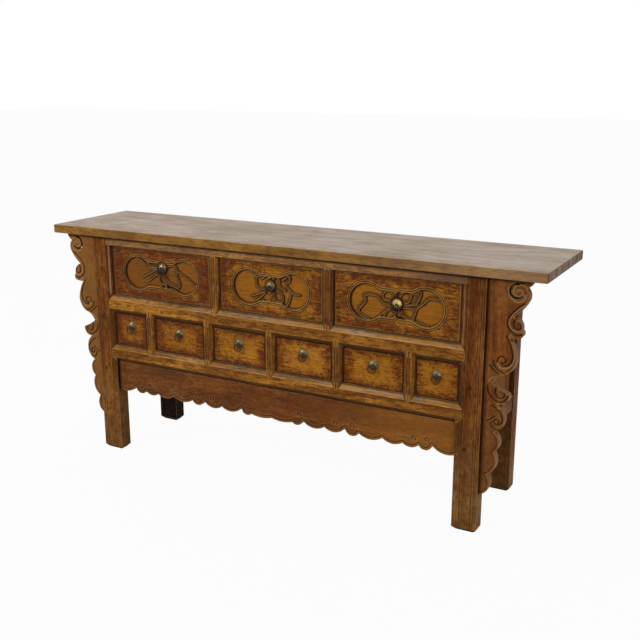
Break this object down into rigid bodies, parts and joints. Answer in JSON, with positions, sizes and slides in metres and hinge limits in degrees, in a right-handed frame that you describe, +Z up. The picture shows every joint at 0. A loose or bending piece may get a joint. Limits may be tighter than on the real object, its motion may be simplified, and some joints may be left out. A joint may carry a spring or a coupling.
{
  "type": "altar coffer table",
  "caption": "Antique style carved wood altar coffer with a long overhanging plank top, carved drawers, scrolled side wings and a scalloped apron.",
  "frame": {"origin": "on the floor under the middle of the top board", "axes": "+X along the table to the right seen from the front, -Y towards the front, +Z up"},
  "size_m": [1.89, 0.422, 0.87],
  "materials": {
    "top_wood": "worn matte grey brown old elm",
    "leg_wood": "worn waxed brown elm",
    "rail_wood": "worn waxed golden brown elm",
    "drawer_wood": "amber lacquer worn to the wood",
    "apron_wood": "worn reddish dark brown lacquer",
    "wing_wood": "worn orange brown lacquer",
    "panel_wood": "dull dark brown",
    "inner_wood": "bare aged softwood",
    "brass": "aged and greenish"
  },
  "bodies": {
    "frame": {"top_board": "top_wood", "leg_front_left": "leg_wood", "leg_front_right": "leg_wood", "leg_back_left": "leg_wood", "leg_back_right": "leg_wood", "top_rail_front": "rail_wood", "mid_rail_front": "rail_wood", "lower_rail_front": "rail_wood", "upper_stiles": "rail_wood", "lower_stiles": "rail_wood", "apron_front": "apron_wood", "wing_left": "wing_wood", "wing_right": "wing_wood", "side_panel_left": "panel_wood", "side_panel_right": "panel_wood", "side_rail_left": "rail_wood", "side_rail_right": "rail_wood", "back_panel": "panel_wood", "back_rail_upper": "rail_wood", "back_rail_lower": "rail_wood", "middle_board": "inner_wood", "bottom_board": "inner_wood", "upper_guides": "inner_wood", "lower_guides": "inner_wood"},
    "upper_drawer_1": {"upper_drawer_1_front": "drawer_wood", "upper_drawer_1_box": "inner_wood", "upper_drawer_1_boss": "brass"},
    "upper_drawer_1_ring_body": {"upper_drawer_1_ring": "brass"},
    "upper_drawer_2": {"upper_drawer_2_front": "drawer_wood", "upper_drawer_2_box": "inner_wood", "upper_drawer_2_boss": "brass"},
    "upper_drawer_2_ring_body": {"upper_drawer_2_ring": "brass"},
    "upper_drawer_3": {"upper_drawer_3_front": "drawer_wood", "upper_drawer_3_box": "inner_wood", "upper_drawer_3_boss": "brass"},
    "upper_drawer_3_ring_body": {"upper_drawer_3_ring": "brass"},
    "lower_drawer_1": {"lower_drawer_1_front": "drawer_wood", "lower_drawer_1_box": "inner_wood", "lower_drawer_1_boss": "brass"},
    "lower_drawer_1_ring_body": {"lower_drawer_1_ring": "brass"},
    "lower_drawer_2": {"lower_drawer_2_front": "drawer_wood", "lower_drawer_2_box": "inner_wood", "lower_drawer_2_boss": "brass"},
    "lower_drawer_2_ring_body": {"lower_drawer_2_ring": "brass"},
    "lower_drawer_3": {"lower_drawer_3_front": "drawer_wood", "lower_drawer_3_box": "inner_wood", "lower_drawer_3_boss": "brass"},
    "lower_drawer_3_ring_body": {"lower_drawer_3_ring": "brass"},
    "lower_drawer_4": {"lower_drawer_4_front": "drawer_wood", "lower_drawer_4_box": "inner_wood", "lower_drawer_4_boss": "brass"},
    "lower_drawer_4_ring_body": {"lower_drawer_4_ring": "brass"},
    "lower_drawer_5": {"lower_drawer_5_front": "drawer_wood", "lower_drawer_5_box": "inner_wood", "lower_drawer_5_boss": "brass"},
    "lower_drawer_5_ring_body": {"lower_drawer_5_ring": "brass"},
    "lower_drawer_6": {"lower_drawer_6_front": "drawer_wood", "lower_drawer_6_box": "inner_wood", "lower_drawer_6_boss": "brass"},
    "lower_drawer_6_ring_body": {"lower_drawer_6_ring": "brass"}
  },
  "joints": [
    {"name": "upper_drawer_1_slide", "type": "slide", "parent": "frame", "child": "upper_drawer_1", "axis": [0, -1, 0], "range_m": [0, 0.24]},
    {"name": "upper_drawer_1_ring_swing", "type": "hinge", "parent": "upper_drawer_1", "child": "upper_drawer_1_ring_body", "pos_m": [-0.453, -0.1997, 0.745], "axis": [-1, 0, 0], "range_deg": [0, 110]},
    {"name": "upper_drawer_2_slide", "type": "slide", "parent": "frame", "child": "upper_drawer_2", "axis": [0, -1, 0], "range_m": [0, 0.24]},
    {"name": "upper_drawer_2_ring_swing", "type": "hinge", "parent": "upper_drawer_2", "child": "upper_drawer_2_ring_body", "pos_m": [0.002, -0.1997, 0.728], "axis": [-1, 0, 0], "range_deg": [0, 110]},
    {"name": "upper_drawer_3_slide", "type": "slide", "parent": "frame", "child": "upper_drawer_3", "axis": [0, -1, 0], "range_m": [0, 0.24]},
    {"name": "upper_drawer_3_ring_swing", "type": "hinge", "parent": "upper_drawer_3", "child": "upper_drawer_3_ring_body", "pos_m": [0.467, -0.1997, 0.72], "axis": [-1, 0, 0], "range_deg": [0, 110]},
    {"name": "lower_drawer_1_slide", "type": "slide", "parent": "frame", "child": "lower_drawer_1", "axis": [0, -1, 0], "range_m": [0, 0.24]},
    {"name": "lower_drawer_1_ring_swing", "type": "hinge", "parent": "lower_drawer_1", "child": "lower_drawer_1_ring_body", "pos_m": [-0.60925, -0.1997, 0.509], "axis": [-1, 0, 0], "range_deg": [0, 110]},
    {"name": "lower_drawer_2_slide", "type": "slide", "parent": "frame", "child": "lower_drawer_2", "axis": [0, -1, 0], "range_m": [0, 0.24]},
    {"name": "lower_drawer_2_ring_swing", "type": "hinge", "parent": "lower_drawer_2", "child": "lower_drawer_2_ring_body", "pos_m": [-0.38775, -0.1997, 0.509], "axis": [-1, 0, 0], "range_deg": [0, 110]},
    {"name": "lower_drawer_3_slide", "type": "slide", "parent": "frame", "child": "lower_drawer_3", "axis": [0, -1, 0], "range_m": [0, 0.24]},
    {"name": "lower_drawer_3_ring_swing", "type": "hinge", "parent": "lower_drawer_3", "child": "lower_drawer_3_ring_body", "pos_m": [-0.12925, -0.1997, 0.509], "axis": [-1, 0, 0], "range_deg": [0, 110]},
    {"name": "lower_drawer_4_slide", "type": "slide", "parent": "frame", "child": "lower_drawer_4", "axis": [0, -1, 0], "range_m": [0, 0.24]},
    {"name": "lower_drawer_4_ring_swing", "type": "hinge", "parent": "lower_drawer_4", "child": "lower_drawer_4_ring_body", "pos_m": [0.12925, -0.1997, 0.509], "axis": [-1, 0, 0], "range_deg": [0, 110]},
    {"name": "lower_drawer_5_slide", "type": "slide", "parent": "frame", "child": "lower_drawer_5", "axis": [0, -1, 0], "range_m": [0, 0.24]},
    {"name": "lower_drawer_5_ring_swing", "type": "hinge", "parent": "lower_drawer_5", "child": "lower_drawer_5_ring_body", "pos_m": [0.38775, -0.1997, 0.509], "axis": [-1, 0, 0], "range_deg": [0, 110]},
    {"name": "lower_drawer_6_slide", "type": "slide", "parent": "frame", "child": "lower_drawer_6", "axis": [0, -1, 0], "range_m": [0, 0.24]},
    {"name": "lower_drawer_6_ring_swing", "type": "hinge", "parent": "lower_drawer_6", "child": "lower_drawer_6_ring_body", "pos_m": [0.60925, -0.1997, 0.509], "axis": [-1, 0, 0], "range_deg": [0, 110]}
  ]
}
